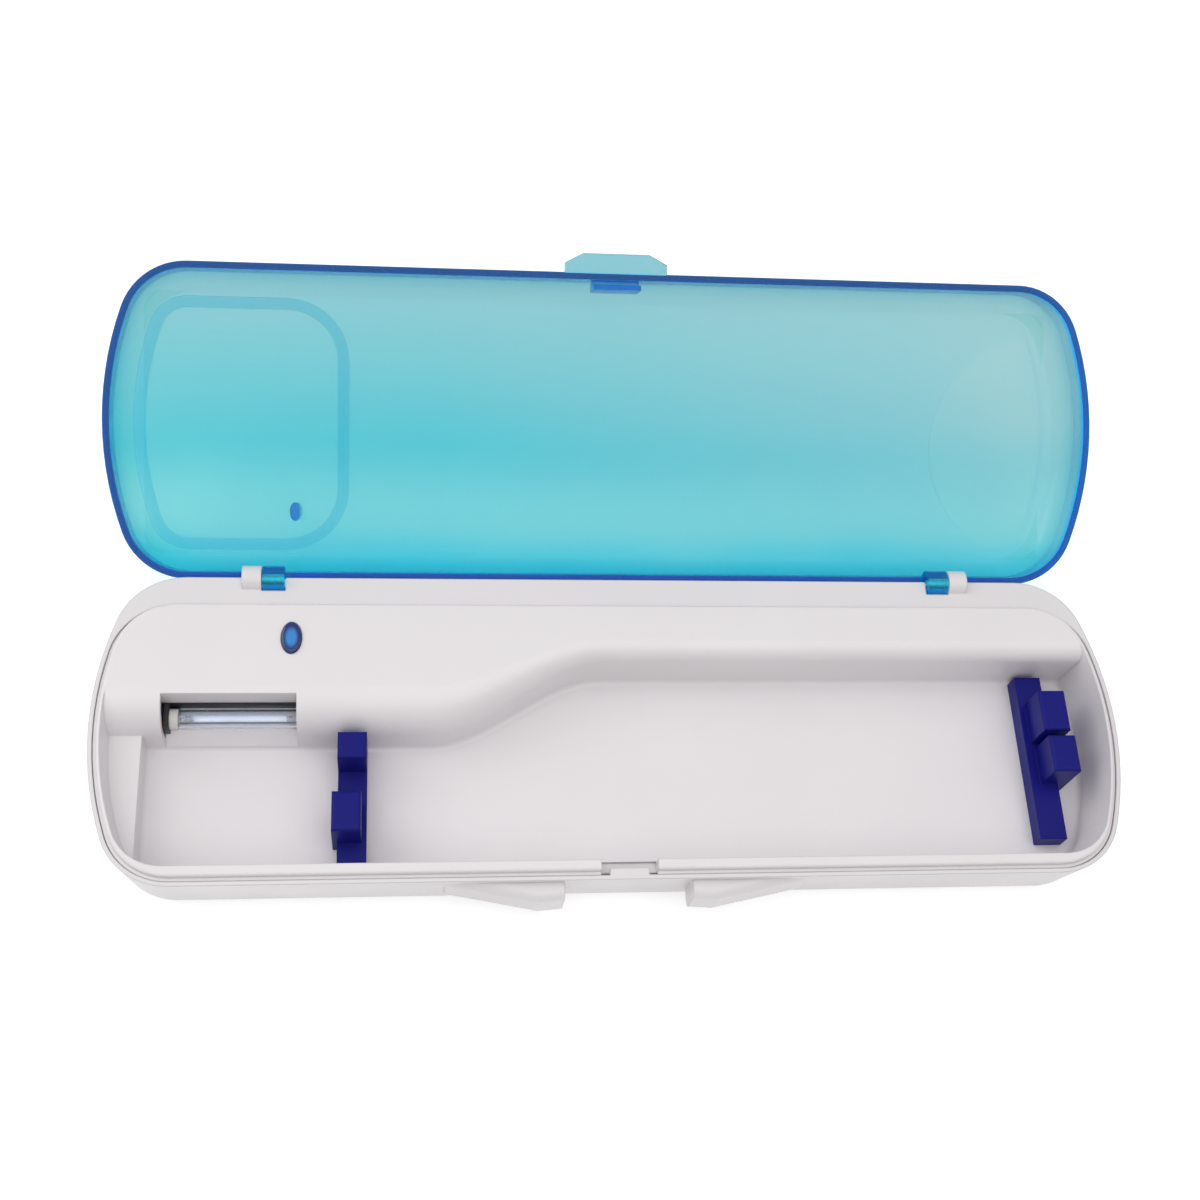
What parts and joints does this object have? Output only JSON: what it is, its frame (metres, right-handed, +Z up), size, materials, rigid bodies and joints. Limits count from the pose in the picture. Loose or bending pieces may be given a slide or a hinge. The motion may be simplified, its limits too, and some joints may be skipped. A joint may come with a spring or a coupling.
{
  "type": "toothbrush sanitizer box",
  "caption": "Long shallow hinged case with a translucent lid, a lamp window, an interlock button and clips that hold a toothbrush while its head is sanitized.",
  "frame": {"origin": "middle of the case's flat underside", "axes": "+X along the case away from the lamp, +Y towards the hinges, +Z up"},
  "size_m": [0.24, 0.1482, 0.058],
  "materials": {
    "white_shell": "glossy white ABS",
    "white_tray": "glossy white ABS",
    "aqua_clear": "translucent aqua polypropylene",
    "royal_blue": "satin royal blue",
    "button_blue": "glossy blue",
    "steel": "zinc plated steel",
    "lamp_glass": "clear quartz glass",
    "lamp_cap": "white ceramic",
    "mirror_metal": "bright rolled aluminium",
    "black_frame": "satin black",
    "black_part": "moulded black",
    "board_green": "green solder mask",
    "ferrite": "dull ferrite",
    "copper": "enamelled copper",
    "cell_jacket": "printed cell jacket",
    "capacitor_sleeve": "shrink sleeve",
    "wire_red": "red insulation",
    "wire_white": "white insulation"
  },
  "bodies": {
    "case": {"base_shell": "white_shell", "tray": "white_tray", "brush_clip_neck": "royal_blue", "brush_clip_handle": "royal_blue", "hinge_pins": "steel", "button_spring": "steel", "case_screws": "steel", "board_screws": "steel", "contact_plates": "steel", "contact_spring": "steel", "uv_lamp": "lamp_glass", "lamp_end_caps": "lamp_cap", "lamp_reflector": "mirror_metal", "lamp_frame": "black_frame", "tact_switch": "black_part", "driver_chip": "black_part", "circuit_board": "board_green", "transformer_core": "ferrite", "transformer_coil": "copper", "cell_left": "cell_jacket", "cell_right": "cell_jacket", "board_capacitor": "capacitor_sleeve", "battery_leads": "wire_red", "lamp_leads": "wire_white"},
    "lid": {"lid": "aqua_clear"},
    "battery_door": {"battery_door": "white_shell"},
    "button": {"interlock_button": "button_blue"},
    "plunger": {"tact_plunger": "white_tray"}
  },
  "joints": [
    {"name": "lid_hinge", "type": "hinge", "parent": "case", "child": "lid", "pos_m": [0, 0.037, 0.021], "axis": [1, 0, 0], "range_deg": [0, 151]},
    {"name": "button_press", "type": "slide", "parent": "case", "child": "button", "axis": [0, 0, -1], "range_m": [0, 0.0012], "stiffness_N_per_m": 300, "deforming": ["button_spring"]},
    {"name": "plunger_press", "type": "slide", "parent": "case", "child": "plunger", "axis": [0, 0, -1], "range_m": [0, 0.00025], "stiffness_N_per_m": 2000},
    {"name": "battery_door_slide", "type": "slide", "parent": "case", "child": "battery_door", "axis": [0, 1, 0], "range_m": [0, 0.005]}
  ]
}
